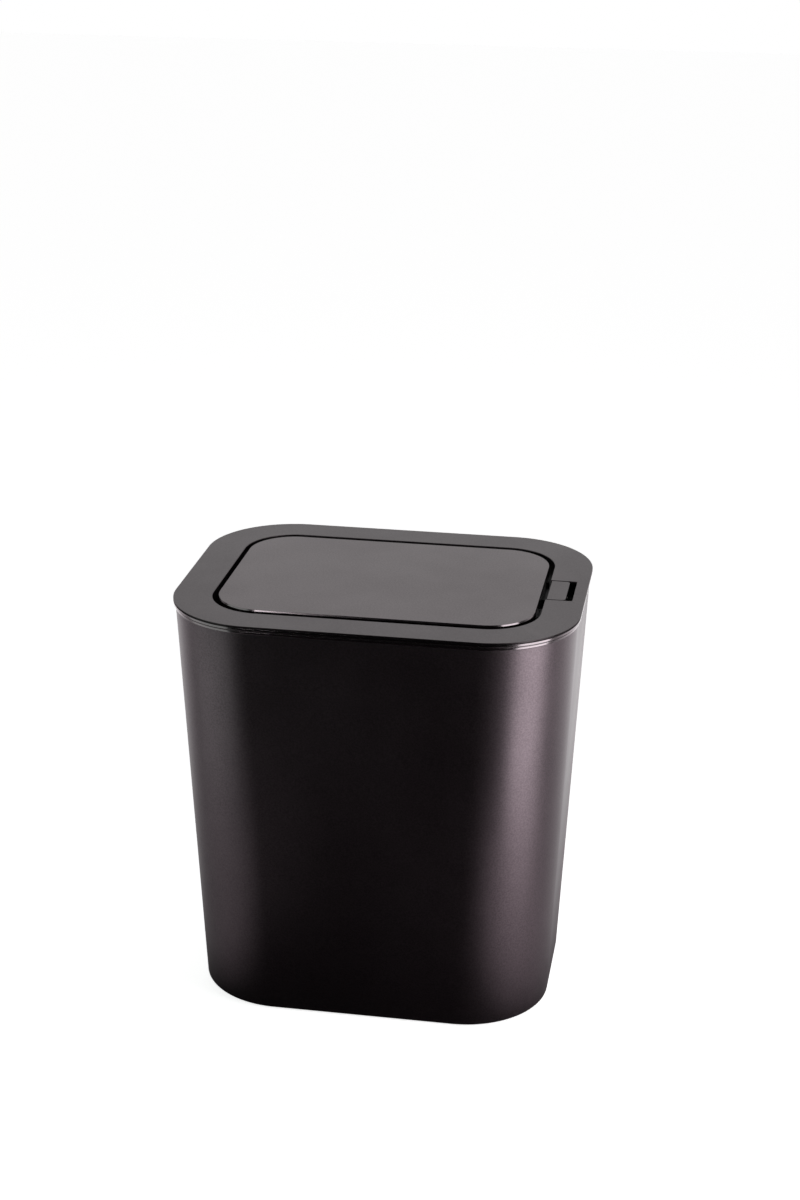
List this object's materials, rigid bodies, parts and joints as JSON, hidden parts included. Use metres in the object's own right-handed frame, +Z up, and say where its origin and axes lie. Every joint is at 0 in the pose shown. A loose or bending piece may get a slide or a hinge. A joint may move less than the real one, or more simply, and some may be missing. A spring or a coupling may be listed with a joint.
{
  "type": "push top countertop bin",
  "caption": "Tall bin with rounded corners and a lift-off lid, whose inset flap opens on a hinge when a button at one end is pressed.",
  "frame": {"origin": "centre of the footprint, on the surface that the rubber pads stand on", "axes": "+Z up, +X along the long side from the flap's hinge towards the button, +Y towards the back"},
  "size_m": [0.273, 0.212, 0.2894],
  "materials": {
    "body_plastic": "fine satin grain, dark aubergine grey",
    "lid_plastic": "fine matt grain, dark aubergine grey",
    "inner_plastic": "plain moulded, black grey",
    "acetal": "smooth, natural white",
    "rubber": "matt",
    "steel": "zinc plated",
    "spring_steel": "drawn wire"
  },
  "bodies": {
    "bin": {"bin_body": "body_plastic", "foot_pads": "rubber"},
    "lid": {"lid_frame": "lid_plastic", "lid_tray": "inner_plastic", "lid_screws": "steel", "flap_bumpers": "rubber", "hinge_pin": "steel", "pin_clips": "steel", "hinge_spring_front": "spring_steel", "hinge_spring_rear": "spring_steel", "latch_housing": "inner_plastic", "housing_screws": "steel", "latch_spring": "spring_steel"},
    "flap": {"flap_panel": "lid_plastic", "flap_liner": "inner_plastic", "flap_screws": "steel", "hinge_bushes": "acetal"},
    "button": {"push_button": "lid_plastic"},
    "latch": {"latch_slider": "acetal"}
  },
  "joints": [
    {"name": "lid_lift", "type": "slide", "parent": "bin", "child": "lid", "axis": [0, 0, 1], "range_m": [0, 0.06]},
    {"name": "flap_hinge", "type": "hinge", "parent": "lid", "child": "flap", "pos_m": [-0.0907, 0, 0.283], "axis": [0, -1, 0], "range_deg": [0, 75]},
    {"name": "button_press", "type": "slide", "parent": "lid", "child": "button", "axis": [0, 0, -1], "range_m": [0, 0.0025], "stiffness_N_per_m": 400, "springref_m": -0.002},
    {"name": "latch_slide", "type": "slide", "parent": "lid", "child": "latch", "axis": [1, 0, 0], "range_m": [0, 0.0025], "deforming": ["latch_spring"]}
  ],
  "couplings": [
    {"joint": "latch_slide", "follows": "button_press", "ratio": 1}
  ]
}
